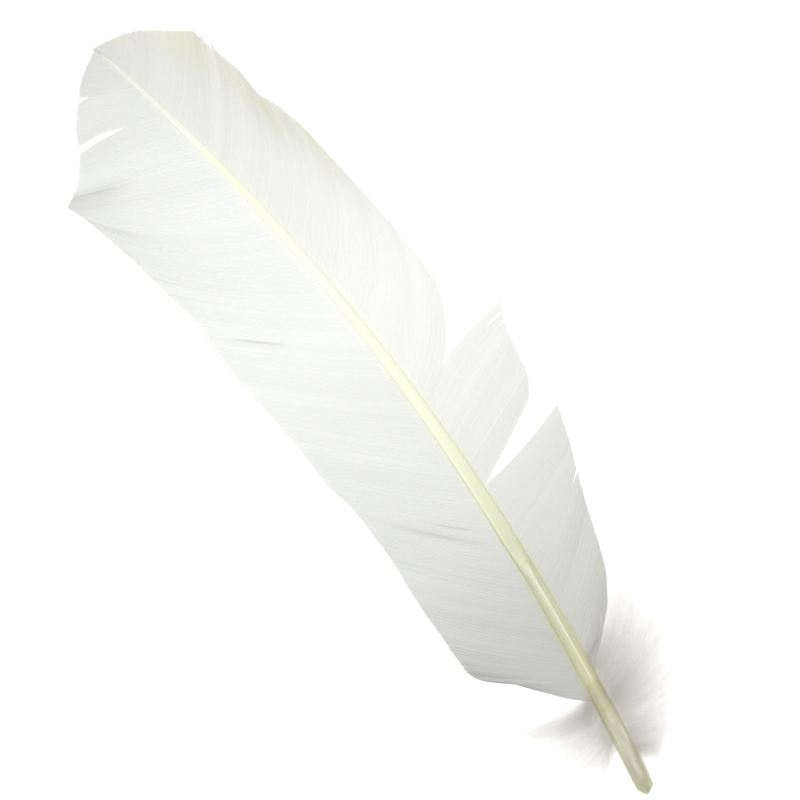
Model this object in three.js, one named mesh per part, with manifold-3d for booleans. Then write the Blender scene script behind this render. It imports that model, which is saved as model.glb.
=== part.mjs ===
// A turkey wing quill that lies on its hollow side: calamus towards -Y, tip towards +Y, outer vane at +X.
// Millimetres, +Z up. The origin is on the surface that the quill lies on, under the middle of its box.
// "along" is the distance along the straight line from the calamus end to the tip, and "across" is the
// distance sideways from that line, positive towards the outer vane.
import * as THREE from "three";
import Module from "manifold-3d";

// Driving dimensions
const quillLength = 300; // calamus end to tip, straight
const sideBow = 16.4; // how far the shaft bows towards the outer vane
const bowLean = 1.1; // above 1, the fullest part of the bow moves towards the tip
const calamusOffset = 0.9; // how far the calamus end stands towards the outer vane
const archRise = 9; // how high the shaft's underside stands at mid length
const archLean = 0.85; // below 1, the highest part of the arch moves towards the calamus
const archPower = 1.25; // above 1, the arch starts and ends more gently
const lyingLength = 18; // stretch of calamus that lies flat
const boxMiddle = { across: 9.75, along: 150 }; // middle of the outline, which becomes the origin

// Width of the shaft, as [along, width]
const shaftWidths = [
  [0, 1.2], [1, 3.7], [2.2, 5.1], [4, 5.8], [8, 6.1], [20, 6], [65, 5.8], [90, 5.2], [120, 4.7],
  [150, 4.1], [180, 3.6], [210, 3.1], [240, 2.6], [270, 2], [288, 1.3], [298, 0.9],
];
const shaftStations = 44;
const shaftSides = 10;
const stationCrowding = 0.35; // share of the stations' spread that crowds them towards the calamus end
const boxyFrom = 20; // where the round calamus starts to turn into the boxy rachis
const boxyTo = 64; // and where it has become it
const roundPower = 2; // superellipse power of the calamus section
const boxyPower = 2.9; // and of the rachis section
const rachisHeight = 1.08; // rachis height over its width
const grooveDepth = 0.16; // groove under the rachis, over its height

// Vanes
const barbInset = 0.25; // how far off the shaft's middle a barb starts, over the shaft's width
const vaneSeat = 0.24; // where barbs leave the shaft, above its middle, over its height
const vaneThickness = { root: 0.85, edge: 0.5 };
const ridgeHeight = 0.28; // barb bundles rise and fall by this much
const ridgeEnd = 1.15; // where a ridge would level out, in barb lengths
const webStep = 0.14; // every other web lies this much higher than its neighbours
const bundleSpacing = 4.4; // distance between neighbouring ridge and furrow lines at the shaft
const stepsAlongBarb = 6;
const floorSoftness = 0.35; // how gradually a vane that reaches the surface levels out
const innerDroop = { slope: 0.02, curve: 0.003 }; // fall of a vane per mm, and per mm squared
const outerDroop = { slope: 0.1, curve: 0.0035 };

// Each web is a run of barbs with no split in it. A key barb is
// [along at the shaft, across at its end, along at its end, bow], where bow is how far the barb's middle
// control point stands towards the base, over the barb's length. A negative bow curves it backwards.
const innerWebs = [
  [[297.6, 0.7, 300, 0], [293, -4, 297.4, -0.05], [287, -8.6, 294.6, -0.1], [282, -11.8, 292, -0.13],
    [277, -14.2, 289.7, -0.15]],
  [[279.4, -15.6, 288.4, -0.15], [274, -19, 283.8, -0.16], [270, -21.4, 280.4, -0.17],
    [264.6, -23, 277.4, -0.19]],
  [[266.6, -24.6, 275, -0.16], [259, -28.2, 270.4, -0.14], [254, -31.4, 267.3, -0.13],
    [247, -37.5, 263.9, -0.12], [238, -35.6, 257, -0.1], [228, -33.4, 248.5, -0.06],
    [216, -31.2, 240.5, -0.03], [207, -30.2, 233, 0], [196, -29, 224, 0.02], [184, -27.6, 216, 0.03],
    [174, -26.4, 209, 0.04], [166, -26.5, 202, 0.04], [154, -26.5, 191, 0.04], [138, -25.5, 176, 0.04],
    [122, -24, 160, 0.04], [112, -23.5, 149, 0.04], [103.5, -23.3, 140.5, 0.04], [97, -21.7, 133, 0.04],
    [85, -21, 121, 0.04], [73, -21.2, 108.5, 0.04], [66, -22, 100, 0.04], [57, -22.7, 90, 0.04],
    [51, -24, 82.5, 0.04], [45.5, -24.5, 75, 0.04], [42, -24, 68, 0.04], [40, -21, 61, 0.04],
    [38.4, -14.6, 57, 0.04], [36.8, -9, 49, 0.03], [35.2, -2.5, 41, 0.02]],
];
const outerWebs = [
  [[297.2, -0.7, 300, 0], [291, 5, 299.2, 0.06], [281.5, 14, 296.6, 0.1], [274.5, 19.2, 293, 0.1],
    [267, 25, 288.6, 0.1], [261.5, 29, 285.4, 0.1], [257, 29.7, 281, 0.1], [246, 31.8, 273, 0.1],
    [238, 33.3, 267, 0.1], [232, 33.8, 262.5, 0.1], [226.5, 33.7, 257, 0.1], [221, 36, 251.5, 0.1],
    [211, 38.1, 244, 0.1], [205, 39.3, 238, 0.1], [197, 40.1, 230, 0.1], [186, 41.2, 220, 0.1],
    [176, 42.1, 210, 0.1], [166, 42.9, 200, 0.11], [157, 43.8, 190, 0.13], [150, 44, 182, 0.16],
    [143, 43.8, 174, 0.2]],
  [[144.4, 57, 155.8, -0.14], [136, 53.6, 149.6, -0.1], [128, 51.7, 142, -0.04], [119, 49.8, 132.6, 0],
    [113.5, 47.5, 128, 0.02], [109.6, 45.3, 125.6, 0.03]],
  [[112.4, 51.5, 118.5, 0.08], [104, 49.5, 112, 0.06], [95, 47.4, 106, 0.05], [84, 44.4, 99, 0.05],
    [70, 40.6, 89.5, 0.05], [62, 38, 82, 0.05], [55, 35, 73.5, 0.05], [48.5, 31.5, 65.5, 0.04],
    [43, 23, 54, 0.03], [37, 12, 42, 0.02]],
];

// Down: each tuft is a fan of locks, with ends on a smooth line through the keys [across, along]
const outerTuft = {
  side: 1, locks: 15, rootFrom: 42, rootTo: 12, bow: 0.12,
  ends: [[35, 65], [39.5, 56], [39, 46], [35.5, 35], [29, 24], [20.5, 15], [11.5, 8]],
};
const innerTuft = {
  side: -1, locks: 10, rootFrom: 37, rootTo: 17, bow: 0.04,
  ends: [[-26, 45], [-23, 36], [-21.5, 27], [-18.5, 18], [-13, 12], [-6, 13]],
};
const upperLockShare = 0.66; // the upper layer's locks are this much of the lower layer's length
const upperLockLift = 2;
const shortLockShare = 0.9; // every other lock of the lower layer
const upperLockStep = 1; // an upper lock starts this much nearer the calamus end
const lockWidth = 5.4;
const lockThickness = 1.7;
const lockTipHeight = 1.2;
const lockSwell = { start: 0.1, span: 0.8, tip: 0.1 }; // part of a half wave that a lock's width follows
const lockSteps = 4;
const lockSides = 4;

const wasm = await Module();
wasm.setup();

// A smooth line through [x, value] keys: cubic pieces whose slope at a key is the mean of its neighbours'.
function smoothThrough(keys, x, column = 1) {
  const last = keys.length - 1;
  const turned = keys[0][0] > keys[last][0];
  const at = (i) => keys[turned ? last - i : i];
  const slope = (i) => (at(i + 1)[column] - at(i)[column]) / (at(i + 1)[0] - at(i)[0]);
  const tangent = (i) => {
    if (i === 0) return slope(0);
    if (i === last) return slope(last - 1);
    return slope(i - 1) * slope(i) > 0 ? (slope(i - 1) + slope(i)) / 2 : 0;
  };
  let i = 0;
  while (i < last - 1 && x > at(i + 1)[0]) i += 1;
  const width = at(i + 1)[0] - at(i)[0];
  const t = THREE.MathUtils.clamp((x - at(i)[0]) / width, 0, 1);
  const rise = at(i + 1)[column] - at(i)[column];
  const ease = t * t * (3 - 2 * t);
  const bend = width * (t * (1 - t) ** 2 * tangent(i) - t * t * (1 - t) * tangent(i + 1));
  return at(i)[column] + rise * ease + bend;
}

// Shape of the shaft: a leaning bow sideways, and an arch that starts beyond the lying stretch of calamus.
const shaftWidth = (along) => smoothThrough(shaftWidths, along);
const boxiness = (along) => THREE.MathUtils.smoothstep(along, boxyFrom, boxyTo);
const shaftHeight = (along) =>
  shaftWidth(along) * THREE.MathUtils.lerp(1, rachisHeight, boxiness(along));
function shaftAcross(along) {
  const t = THREE.MathUtils.clamp(along / quillLength, 0, 1);
  return (1 - t) * (calamusOffset + 4 * sideBow * t ** bowLean);
}
function shaftUnderside(along) {
  const t = THREE.MathUtils.clamp((along - lyingLength) / (quillLength - lyingLength), 0, 1);
  return archRise * Math.max(0, Math.sin(Math.PI * t ** archLean)) ** archPower;
}

// Height of a vane's middle surface: level with the barb roots at the shaft, falling away sideways, and
// levelling out where it would meet the surface below.
function vaneHeight(across, along) {
  const reach = Math.abs(across - shaftAcross(along));
  const droop = across < shaftAcross(along) ? innerDroop : outerDroop;
  const seat = shaftUnderside(along) + shaftHeight(along) * (0.5 + vaneSeat);
  const free = seat - droop.slope * reach - droop.curve * reach * reach;
  return (free + Math.hypot(free, 2 * floorSoftness)) / 2;
}

// A closed solid from an index list, turned so that its faces point out.
function solidFrom(points, triangles) {
  const a = new THREE.Vector3();
  const b = new THREE.Vector3();
  const c = new THREE.Vector3();
  let volume = 0;
  for (let i = 0; i < triangles.length; i += 3) {
    a.fromArray(points, 3 * triangles[i]);
    b.fromArray(points, 3 * triangles[i + 1]);
    c.fromArray(points, 3 * triangles[i + 2]);
    volume += a.dot(b.cross(c));
  }
  const outward = volume < 0 ? triangles.slice().reverse() : triangles;
  return new wasm.Manifold(
    new wasm.Mesh({
      numProp: 3,
      vertProperties: new Float32Array(points),
      triVerts: new Uint32Array(outward),
    }),
  );
}

// A closed tube through rings of points, with a flat fan over each end.
function tubeFrom(rings) {
  const sides = rings[0].length;
  const points = [];
  const triangles = [];
  for (const ring of rings) for (const p of ring) points.push(...p);
  for (let r = 0; r + 1 < rings.length; r += 1)
    for (let s = 0; s < sides; s += 1) {
      const near = r * sides + s;
      const next = r * sides + ((s + 1) % sides);
      triangles.push(near, next, near + sides, next, next + sides, near + sides);
    }
  for (const [ring, turn] of [[0, 1], [rings.length - 1, -1]]) {
    const centre = points.length / 3;
    for (let axis = 0; axis < 3; axis += 1)
      points.push(rings[ring].reduce((sum, p) => sum + p[axis], 0) / sides);
    for (let s = 0; s < sides; s += 1) {
      const fan = [centre, ring * sides + ((s + 1) % sides), ring * sides + s];
      triangles.push(...(turn > 0 ? fan : fan.reverse()));
    }
  }
  return solidFrom(points, triangles);
}

// The shaft: superellipse sections from the round calamus to the boxy rachis, with a facet along the
// underside that opens into the groove.
function makeShaft() {
  const rings = [];
  const first = shaftWidths[0][0];
  const last = shaftWidths[shaftWidths.length - 1][0];
  for (let i = 0; i <= shaftStations; i += 1) {
    const t = i / shaftStations;
    const along = first + (last - first) * THREE.MathUtils.lerp(t, t * t, stationCrowding);
    const halfWidth = shaftWidth(along) / 2;
    const halfHeight = shaftHeight(along) / 2;
    const power = 2 / THREE.MathUtils.lerp(roundPower, boxyPower, boxiness(along));
    const flat = Math.sin(Math.PI / 2 - Math.PI / shaftSides) ** power * halfHeight;
    const ring = [];
    for (let s = 0; s < shaftSides; s += 1) {
      const turn = (2 * Math.PI * (s + 0.5)) / shaftSides - Math.PI / 2;
      const x = Math.sign(Math.cos(turn)) * Math.abs(Math.cos(turn)) ** power * halfWidth;
      const z = Math.sign(Math.sin(turn)) * Math.abs(Math.sin(turn)) ** power * halfHeight;
      ring.push([shaftAcross(along) + x, along, shaftUnderside(along) + flat + z]);
    }
    const groove = grooveDepth * 2 * halfHeight * boxiness(along);
    ring.push([shaftAcross(along), along, shaftUnderside(along) + groove]);
    rings.push(ring);
  }
  return tubeFrom(rings);
}

// A web: barbs side by side, each a quadratic curve from the shaft to its end, laid on the vane's surface
// as alternate ridges and furrows, with a top and a bottom face closed all round.
function makeWeb(keys, side, lift) {
  const rootFrom = keys[0][0];
  const rootTo = keys[keys.length - 1][0];
  const barbs = Math.max(2, Math.round((rootFrom - rootTo) / bundleSpacing));
  const columns = stepsAlongBarb + 1;
  const points = [];
  const triangles = [];
  for (let i = 0; i <= barbs; i += 1) {
    const along = THREE.MathUtils.lerp(rootFrom, rootTo, i / barbs);
    const root = new THREE.Vector2(shaftAcross(along) + side * barbInset * shaftWidth(along), along);
    const end = new THREE.Vector2(smoothThrough(keys, along, 1), smoothThrough(keys, along, 2));
    const chord = end.clone().sub(root);
    const towardsBase = new THREE.Vector2(side * chord.y, -side * chord.x);
    const middle = root.clone().addScaledVector(chord, 0.5);
    middle.addScaledVector(towardsBase, smoothThrough(keys, along, 3));
    const barb = new THREE.QuadraticBezierCurve(root, middle, end);
    for (let j = 0; j < columns; j += 1) {
      const f = j / stepsAlongBarb;
      const p = barb.getPoint(f);
      const ridge = ridgeHeight * (i % 2 ? 1 : -1) * Math.sqrt(f * (ridgeEnd - f));
      const thickness = THREE.MathUtils.lerp(vaneThickness.root, vaneThickness.edge, f);
      const underside = Math.max(0, vaneHeight(p.x, p.y) - thickness / 2 + ridge + lift);
      points.push(p.x, p.y, underside + thickness, p.x, p.y, underside);
    }
  }
  const top = (i, j) => 2 * (i * columns + j);
  const bottom = (i, j) => top(i, j) + 1;
  const quad = (a, b, c, d) => triangles.push(a, b, c, a, c, d);
  for (let i = 0; i < barbs; i += 1)
    for (let j = 0; j < stepsAlongBarb; j += 1) {
      quad(top(i, j), top(i, j + 1), top(i + 1, j + 1), top(i + 1, j));
      quad(bottom(i, j), bottom(i + 1, j), bottom(i + 1, j + 1), bottom(i, j + 1));
    }
  for (let i = 0; i < barbs; i += 1) {
    quad(top(i, 0), top(i + 1, 0), bottom(i + 1, 0), bottom(i, 0));
    const j = stepsAlongBarb;
    quad(top(i, j), bottom(i, j), bottom(i + 1, j), top(i + 1, j));
  }
  for (let j = 0; j < stepsAlongBarb; j += 1) {
    quad(top(0, j), bottom(0, j), bottom(0, j + 1), top(0, j + 1));
    const i = barbs;
    quad(top(i, j), top(i, j + 1), bottom(i, j + 1), bottom(i, j));
  }
  return solidFrom(points, triangles);
}

// One lock of down: a flattened spindle from inside the shaft to its tip, which sinks towards the surface.
function makeLock(side, rootAlong, endAcross, endAlong, bow, share, lift) {
  const root = new THREE.Vector2(shaftAcross(rootAlong), rootAlong);
  const reach = new THREE.Vector2(endAcross, endAlong).sub(root).multiplyScalar(share);
  const end = root.clone().add(reach);
  const middle = root.clone().addScaledVector(reach, 0.5);
  middle.addScaledVector(new THREE.Vector2(side * reach.y, -side * reach.x), bow);
  const path = new THREE.QuadraticBezierCurve(root, middle, end);
  const rootHeight = shaftUnderside(rootAlong) + shaftHeight(rootAlong) * 0.5;
  const rings = [];
  for (let r = 0; r <= lockSteps; r += 1) {
    const f = r / lockSteps;
    const p = path.getPoint(f);
    const heading = path.getTangent(f);
    const size = f < 1 ? Math.sin(Math.PI * (lockSwell.start + lockSwell.span * f)) : lockSwell.tip;
    const height = THREE.MathUtils.lerp(rootHeight, lockTipHeight, f) + lift * Math.sin(Math.PI * f);
    const ring = [];
    for (let s = 0; s < lockSides; s += 1) {
      const turn = (2 * Math.PI * s) / lockSides;
      const sideways = (Math.cos(turn) * lockWidth * size) / 2;
      const up = (Math.sin(turn) * lockThickness * size) / 2;
      ring.push([p.x - heading.y * sideways, p.y + heading.x * sideways, height + up]);
    }
    rings.push(ring);
  }
  return tubeFrom(rings);
}

// A tuft: a lower fan of full locks and an upper fan of shorter ones between them.
function makeTuft({ side, locks, rootFrom, rootTo, bow, ends }) {
  const keys = ends.map(([across, along], i) => [i / (ends.length - 1), across, along]);
  const made = [];
  for (let i = 0; i < locks; i += 1) {
    const t = i / (locks - 1);
    const rootAlong = THREE.MathUtils.lerp(rootFrom, rootTo, t);
    const end = [smoothThrough(keys, t, 1), smoothThrough(keys, t, 2)];
    made.push(makeLock(side, rootAlong, ...end, bow, i % 2 ? shortLockShare : 1, 0));
    const above = rootAlong - upperLockStep;
    if (i % 2) made.push(makeLock(side, above, ...end, bow, upperLockShare, upperLockLift));
  }
  return made;
}

function makeFeather() {
  const pieces = [
    makeShaft(),
    ...innerWebs.map((keys, i) => makeWeb(keys, -1, webStep * (i % 2))),
    ...outerWebs.map((keys, i) => makeWeb(keys, 1, webStep * ((i + 1) % 2))),
    ...makeTuft(outerTuft),
    ...makeTuft(innerTuft),
  ];
  const whole = pieces.reduce((sum, piece) => sum.add(piece));
  const mesh = whole.getMesh();
  const geometry = new THREE.BufferGeometry();
  geometry.setAttribute("position", new THREE.Float32BufferAttribute(mesh.vertProperties, 3));
  geometry.setIndex(new THREE.Uint32BufferAttribute(mesh.triVerts, 1));
  geometry.computeVertexNormals();
  const keratin = new THREE.MeshStandardMaterial({ color: 0xeef0ec, roughness: 0.7, metalness: 0 });
  const feather = new THREE.Mesh(geometry, keratin);
  feather.name = "feather";
  feather.position.set(-boxMiddle.across, -boxMiddle.along, 0);
  return feather;
}

const quill = new THREE.Group();
quill.add(makeFeather());

export default quill;
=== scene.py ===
# A turkey wing quill lying on its hollow side: horn shaft, two vanes of single barbs, and down at the base.
# Shapes are worked out in millimetres across and along the quill, and go into the meshes in metres.
import math
import bpy
import numpy as np
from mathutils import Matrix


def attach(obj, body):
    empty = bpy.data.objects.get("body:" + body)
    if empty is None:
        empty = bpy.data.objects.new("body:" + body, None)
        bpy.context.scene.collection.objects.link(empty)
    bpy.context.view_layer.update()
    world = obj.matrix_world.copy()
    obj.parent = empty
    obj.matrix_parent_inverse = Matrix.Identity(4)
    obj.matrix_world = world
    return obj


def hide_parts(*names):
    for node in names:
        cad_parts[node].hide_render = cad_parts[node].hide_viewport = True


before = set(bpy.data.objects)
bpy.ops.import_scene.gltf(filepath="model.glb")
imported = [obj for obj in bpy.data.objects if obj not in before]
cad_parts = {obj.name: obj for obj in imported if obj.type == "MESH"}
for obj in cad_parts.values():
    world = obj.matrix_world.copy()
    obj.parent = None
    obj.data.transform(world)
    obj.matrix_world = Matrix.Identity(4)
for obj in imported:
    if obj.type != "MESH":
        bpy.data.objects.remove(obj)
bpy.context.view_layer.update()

# The quill's own shape, the same driving sizes as the construction model, in mm
quill = {
    "length": 300.0,  # calamus end to tip, straight
    "sideBow": 16.4,  # how far the shaft bows towards the outer vane
    "bowLean": 1.1,  # above 1, the fullest part of the bow moves towards the tip
    "calamusOffset": 0.9,  # how far the calamus end stands towards the outer vane
    "archRise": 9.0,  # how high the shaft's underside stands at mid length
    "archLean": 0.85,  # below 1, the highest part of the arch moves towards the calamus
    "archPower": 1.25,  # above 1, the arch starts and ends more gently
    "lyingLength": 18.0,  # stretch of calamus that lies flat
    "middleAcross": 9.75,  # middle of the outline, where the origin is
    "middleAlong": 150.0,
    # [along, width of the shaft]
    "shaftWidths": [[0, 1.2], [1, 3.7], [2.2, 5.1], [4, 5.8], [8, 6.1], [20, 6], [65, 5.8], [90, 5.2],
                    [120, 4.7], [150, 4.1], [180, 3.6], [210, 3.1], [240, 2.6], [270, 2], [288, 1.3],
                    [298, 0.9]],
    "boxyFrom": 20.0,  # where the round calamus starts to turn into the boxy rachis
    "boxyTo": 64.0,  # and where it has become it
    "rachisHeight": 1.08,  # over its width
    # where barbs leave the shaft, above its middle, over its height: [along, share]
    "innerSeat": [[0, 0.24], [60, 0.24], [110, 0.34], [300, 0.34]],
    "outerSeat": [[0, 0.24], [70, 0.24], [105, 0.13], [300, 0.13]],
    "floorSoftness": 0.35,  # how gradually a vane that reaches the surface levels out
    "innerDroop": (0.02, 0.003),  # fall of a vane per mm, and per mm squared
    "outerDroop": (0.1, 0.0035),
}

# What the photograph's frame shows: its middle, scale and turn on the quill
picture = {
    "middleAcross": 11.66,
    "middleAlong": 149.77,
    "turn": -36.57,  # degrees from the quill's own length to the picture's upright
    "shown": 257.7,  # mm from edge to edge
    "shownAt": 3.0,  # mm above the surface, where that holds
    "lens": 100.0,  # mm, like the sensor
    "sensor": 36.0,
    "farthest": 20.0,  # m, still drawn
}


def smoothThrough(x, keyX, keyY):
    # cubic pieces between keys; the slope at a key is the mean of its neighbours', and zero at a turn
    keyX, keyY = np.asarray(keyX, float), np.asarray(keyY, float)
    if keyX[0] > keyX[-1]:
        keyX, keyY = keyX[::-1], keyY[::-1]
    rise = np.diff(keyY) / np.diff(keyX)
    inner = np.where(rise[:-1] * rise[1:] > 0, (rise[:-1] + rise[1:]) / 2, 0)
    slope = np.concatenate([rise[:1], inner, rise[-1:]])
    i = np.clip(np.searchsorted(keyX, x) - 1, 0, len(keyX) - 2)
    width = keyX[i + 1] - keyX[i]
    t = np.clip((x - keyX[i]) / width, 0, 1)
    ease = t * t * (3 - 2 * t)
    bend = width * (t * (1 - t) ** 2 * slope[i] - t * t * (1 - t) * slope[i + 1])
    return keyY[i] + (keyY[i + 1] - keyY[i]) * ease + bend


def smoothStep(x, start, end):  # 3t^2 - 2t^3, from 0 at start to 1 at end
    t = np.clip((x - start) / (end - start), 0, 1)
    return t * t * (3 - 2 * t)


def shaftAcross(along):  # a bow that leans towards the tip, over a straight line from the offset calamus
    t = np.clip(along / quill["length"], 0, 1)
    return (1 - t) * (quill["calamusOffset"] + 4 * quill["sideBow"] * t ** quill["bowLean"])


def shaftWidth(along):  # a smooth line through its keys
    keys = np.array(quill["shaftWidths"])
    return smoothThrough(along, keys[:, 0], keys[:, 1])


def boxiness(along):  # 0 on the calamus, 1 on the rachis
    return smoothStep(along, quill["boxyFrom"], quill["boxyTo"])


def shaftHeight(along):  # its width, times a factor that grows into the rachis
    return shaftWidth(along) * (1 + (quill["rachisHeight"] - 1) * boxiness(along))


def shaftUnderside(along):  # flat where the calamus lies, then a lopsided sine arch
    t = np.clip((along - quill["lyingLength"]) / (quill["length"] - quill["lyingLength"]), 0, 1)
    return quill["archRise"] * np.sin(math.pi * t ** quill["archLean"]).clip(0) ** quill["archPower"]


def vaneHeight(across, along):
    # level with the barb roots at the shaft, falling by slope and square of the reach, softly kept above 0
    reach = across - shaftAcross(along)
    slope = np.where(reach < 0, quill["innerDroop"][0], quill["outerDroop"][0])
    curve = np.where(reach < 0, quill["innerDroop"][1], quill["outerDroop"][1])
    innerSeat, outerSeat = np.array(quill["innerSeat"]), np.array(quill["outerSeat"])
    share = np.where(reach < 0, smoothThrough(along, *innerSeat.T), smoothThrough(along, *outerSeat.T))
    seat = shaftUnderside(along) + shaftHeight(along) * (0.5 + share)
    free = seat - slope * np.abs(reach) - curve * reach * reach
    return (free + np.hypot(free, 2 * quill["floorSoftness"])) / 2


def smoothNoise(rng, count, width):
    # white noise blurred by a Gaussian of that width in samples, cut off at three widths, scaled to a
    # deviation of 1
    reach = int(3 * width) + 1
    kernel = np.exp(-0.5 * (np.arange(-reach, reach + 1) / width) ** 2)
    wave = np.convolve(rng.normal(size=count + 2 * reach), kernel, "same")[reach:reach + count]
    return wave / np.sqrt((kernel ** 2).sum())


def tubeFaces(count, rows, around):
    # quads over count separate tubes of rows by around points, and one cap over each end
    index = np.arange(count * rows * around).reshape(count, rows, around)
    turned = np.roll(index, -1, axis=2)
    sides = np.stack([index[:, :-1], turned[:, :-1], turned[:, 1:], index[:, 1:]], -1).reshape(-1, 4)
    caps = np.concatenate([index[:, 0, ::-1], index[:, -1]])
    return [sides, caps]


def outward(points, faceSets):
    # the sign of the enclosed volume, from the fan of each face, tells whether the faces point in
    volume = 0.0
    for faces in faceSets:
        corner = points[faces]
        for k in range(1, faces.shape[1] - 1):
            volume += (corner[:, 0] * np.cross(corner[:, k], corner[:, k + 1])).sum()
    return faceSets if volume > 0 else [faces[:, ::-1] for faces in faceSets]


def makePiece(name, points, faceSets, material, uv=None, values=None, smooth=False):
    # points are across, along and height in mm; uv and each of the values hold one entry for each point
    placed = (points - [quill["middleAcross"], quill["middleAlong"], 0]) / 1000
    faceSets = outward(placed, faceSets)
    sizes = np.concatenate([np.full(len(faces), faces.shape[1]) for faces in faceSets])
    corners = np.concatenate([faces.ravel() for faces in faceSets])
    mesh = bpy.data.meshes.new(name)
    mesh.vertices.add(len(placed))
    mesh.vertices.foreach_set("co", placed.ravel())
    mesh.loops.add(len(corners))
    mesh.loops.foreach_set("vertex_index", corners)
    mesh.polygons.add(len(sizes))
    mesh.polygons.foreach_set("loop_start", np.cumsum(sizes) - sizes)
    mesh.polygons.foreach_set("loop_total", sizes)
    mesh.polygons.foreach_set("use_smooth", np.full(len(sizes), smooth))
    if uv is not None:
        mesh.uv_layers.new(name="pieceUv").data.foreach_set("uv", uv[corners].ravel())
    for valueName, value in (values or {}).items():
        mesh.attributes.new(valueName, "FLOAT", "POINT").data.foreach_set("value", value.astype(np.float32))
    mesh.update(calc_edges=True)
    mesh.validate()
    mesh.materials.append(material)
    piece = bpy.data.objects.new(name, mesh)
    bpy.context.scene.collection.objects.link(piece)
    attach(piece, "root")
    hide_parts("feather")
    print(name, len(placed), "points,", int((sizes - 2).sum()), "triangles")


def linear(hexColour):
    # sRGB hex to linear light: c / 12.92 where it is dark, and ((c + 0.055) / 1.055)^2.4 above that
    parts = [int(hexColour[i:i + 2], 16) / 255 for i in (0, 2, 4)]
    return [c / 12.92 if c <= 0.04045 else ((c + 0.055) / 1.055) ** 2.4 for c in parts] + [1.0]


def addNode(tree, kind, inputs=None, stops=None, **settings):
    # a node with its settings, its colour stops and its inputs, each a value or the socket to link from
    node = tree.nodes.new(kind)
    for name, value in settings.items():
        setattr(node, name, value)
    for number, (place, colour) in enumerate(stops or []):
        elements = node.color_ramp.elements
        element = elements[number] if number < 2 else elements.new(place)
        element.position = place
        element.color = linear(colour)
    for name, value in (inputs or {}).items():
        if isinstance(value, bpy.types.NodeSocket):
            tree.links.new(value, node.inputs[name])
        else:
            node.inputs[name].default_value = value
    return node


def newMaterial(name):  # with no nodes in it yet
    material = bpy.data.materials.new(name)
    material.use_nodes = True
    material.node_tree.nodes.clear()
    return material, material.node_tree


# Camera straight above, turned as the photograph is
print("camera and light")
scene = bpy.context.scene
camera = bpy.data.objects.new("camera", bpy.data.cameras.new("camera"))
camera.data.lens = picture["lens"]
camera.data.sensor_width = picture["sensor"]
camera.data.clip_end = picture["farthest"]
distance = picture["shown"] * picture["lens"] / picture["sensor"]
camera.location = (
    (picture["middleAcross"] - quill["middleAcross"]) / 1000,
    (picture["middleAlong"] - quill["middleAlong"]) / 1000,
    (distance + picture["shownAt"]) / 1000,
)
camera.rotation_euler = (0, 0, math.radians(picture["turn"]))
scene.collection.objects.link(camera)
scene.camera = camera

studio = {
    "world": 1.08,  # strength of the even white surroundings
    "floorColour": "6e6e6e",  # grey, because it also glows
    "floorGlow": 0.92,
    "floorRoughness": 0.9,
    "floorShine": 0.1,
    "floorSize": 12.0,  # m
    # name, direction it comes from (x, y, z), distance in m, size across and along the quill in m, watts
    "lamps": [
        ("keyPanel", (-0.1, 0.1, 1.0), 1.6, (1.4, 1.4), 9.8),
        ("stripPanel", (0.3, -0.3, 1.0), 1.5, (0.3, 1.2), 6.0),
    ],
}
scene.view_settings.view_transform = "Standard"
world = bpy.data.worlds.new("studio")
world.use_nodes = True
world.node_tree.nodes["Background"].inputs["Color"].default_value = (1, 1, 1, 1)
world.node_tree.nodes["Background"].inputs["Strength"].default_value = studio["world"]
scene.world = world
for name, direction, away, size, watts in studio["lamps"]:
    lamp = bpy.data.objects.new(name, bpy.data.lights.new(name, "AREA"))
    lamp.data.shape = "RECTANGLE"
    lamp.data.size, lamp.data.size_y = size
    lamp.data.energy = watts
    unit = np.array(direction) / np.linalg.norm(direction)
    lamp.location = unit * away
    lamp.rotation_euler = (-math.asin(unit[1]), math.atan2(unit[0], unit[2]), 0)
    scene.collection.objects.link(lamp)

floorMesh = bpy.data.meshes.new("floor")
half = studio["floorSize"] / 2
corners = [(-half, -half, 0), (half, -half, 0), (half, half, 0), (-half, half, 0)]
floorMesh.from_pydata(corners, [], [(0, 1, 2, 3)])
floor = bpy.data.objects.new("floor", floorMesh)
# opal acrylic over lamps: an even milky white that leaves only a faint shadow
opal, tree = newMaterial("opalLightTable")
shader = addNode(tree, "ShaderNodeBsdfPrincipled", {
    "Base Color": linear(studio["floorColour"]), "Roughness": studio["floorRoughness"],
    "Specular IOR Level": studio["floorShine"], "Emission Color": (1, 1, 1, 1),
    "Emission Strength": studio["floorGlow"]})
addNode(tree, "ShaderNodeOutputMaterial", {"Surface": shader.outputs["BSDF"]})
floorMesh.materials.append(opal)
scene.collection.objects.link(floor)


def alongRamp(tree, stops):
    # colours by place along the quill, in mm from the calamus end
    coordinate = addNode(tree, "ShaderNodeTexCoord")
    split = addNode(tree, "ShaderNodeSeparateXYZ", {"Vector": coordinate.outputs["Object"]})
    start = -quill["middleAlong"] / 1000
    share = addNode(tree, "ShaderNodeMapRange", {
        "Value": split.outputs["Y"], "From Min": start, "From Max": start + quill["length"] / 1000})
    places = [(along / quill["length"], colour) for along, colour in stops]
    return addNode(tree, "ShaderNodeValToRGB", {"Fac": share.outputs["Result"]}, places)


keratinIor = 1.54  # barbs, horn and down

# Vane material
vaneFinish = {
    # [mm along, colour]: darker towards the base and the tip, painted shade of the light falling off there
    "stops": [(35, "b7b7b3"), (60, "bcbdb9"), (80, "c5c6c2"), (100, "d1d2cf"), (130, "dadbd8"),
              (180, "e5e6e3"), (230, "e3e4e2"), (262, "dddedc"), (285, "d6d7d4"), (300, "cfcfcd")],
    "olive": "d6d6c9",  # how the outer vane has yellowed and dulled towards the tip
    "rootTint": "fdfedc",  # what the barbs' horny roots take from the white, next to the shaft
    "roughness": 0.6,
    "shine": 0.3,
    "throughLight": 0.3,  # share of the light that comes through
}


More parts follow.
